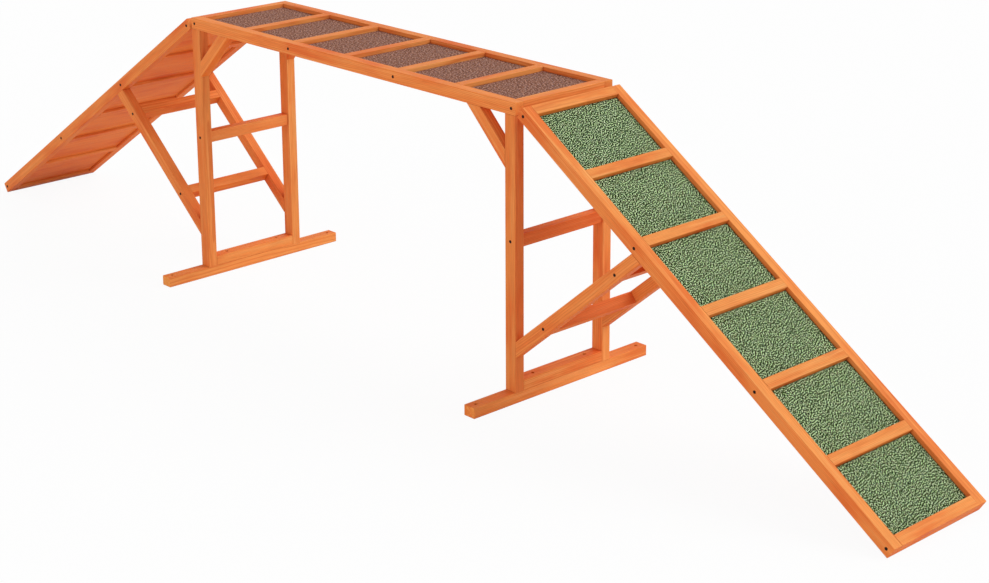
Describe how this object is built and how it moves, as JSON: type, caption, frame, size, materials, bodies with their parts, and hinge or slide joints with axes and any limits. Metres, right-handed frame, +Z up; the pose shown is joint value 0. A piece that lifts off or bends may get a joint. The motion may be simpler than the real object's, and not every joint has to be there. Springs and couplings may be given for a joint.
{
  "type": "dog agility bridge",
  "caption": "Raised wooden dog walk: a felted level deck on trestles with a hinged, braced ramp at each end for a dog to walk up, over and down.",
  "frame": {"origin": "on the ground, under the middle of the deck", "axes": "+X along the walkway towards the right ramp, +Y across it towards the rear side, +Z up"},
  "size_m": [3.5854, 0.605, 0.762],
  "materials": {
    "timber": "orange stain, satin",
    "panel": "orange stain, matt",
    "felt_green": "grit-coated felt, matt",
    "felt_brown": "grit-coated felt, matt",
    "zinc": "zinc plated"
  },
  "bodies": {
    "bridge": {"deck_rail_front": "timber", "deck_rail_rear": "timber", "deck_end_rail_left": "timber", "deck_end_rail_right": "timber", "deck_floor": "panel", "deck_felt_1": "felt_brown", "deck_felt_2": "felt_brown", "deck_felt_3": "felt_brown", "deck_felt_4": "felt_brown", "deck_felt_5": "felt_brown", "deck_felt_6": "felt_brown", "left_foot": "timber", "left_sill": "timber", "left_post_front": "timber", "left_post_rear": "timber", "left_cross_rail": "timber", "left_brace_front": "timber", "left_brace_rear": "timber", "right_foot": "timber", "right_sill": "timber", "right_post_front": "timber", "right_post_rear": "timber", "right_cross_rail": "timber", "right_brace_front": "timber", "right_brace_rear": "timber", "left_hinge_deck_leaf": "zinc", "right_hinge_deck_leaf": "zinc"},
    "left_ramp": {"left_ramp_rail_front": "timber", "left_ramp_rail_rear": "timber", "left_ramp_end_rail_upper": "timber", "left_ramp_end_rail_lower": "timber", "left_ramp_floor": "panel", "left_ramp_felt_1": "felt_green", "left_ramp_felt_2": "felt_green", "left_ramp_felt_3": "felt_green", "left_ramp_felt_4": "felt_green", "left_ramp_felt_5": "felt_green", "left_ramp_felt_6": "felt_green", "left_support_bar_front": "timber", "left_support_bar_rear": "timber", "left_support_rung_lower": "timber", "left_support_rung_upper": "timber", "left_hinge_ramp_leaf": "zinc"},
    "right_ramp": {"right_ramp_rail_front": "timber", "right_ramp_rail_rear": "timber", "right_ramp_end_rail_upper": "timber", "right_ramp_end_rail_lower": "timber", "right_ramp_floor": "panel", "right_ramp_felt_1": "felt_green", "right_ramp_felt_2": "felt_green", "right_ramp_felt_3": "felt_green", "right_ramp_felt_4": "felt_green", "right_ramp_felt_5": "felt_green", "right_ramp_felt_6": "felt_green", "right_support_bar_front": "timber", "right_support_bar_rear": "timber", "right_support_rung_lower": "timber", "right_support_rung_upper": "timber", "right_hinge_ramp_leaf": "zinc"}
  },
  "joints": [
    {"name": "left_ramp_fold", "type": "hinge", "parent": "bridge", "child": "left_ramp", "pos_m": [-0.665, 0, 0.727], "axis": [0, 1, 0], "range_deg": [0, 38]},
    {"name": "right_ramp_fold", "type": "hinge", "parent": "bridge", "child": "right_ramp", "pos_m": [0.665, 0, 0.727], "axis": [0, -1, 0], "range_deg": [0, 38]}
  ]
}
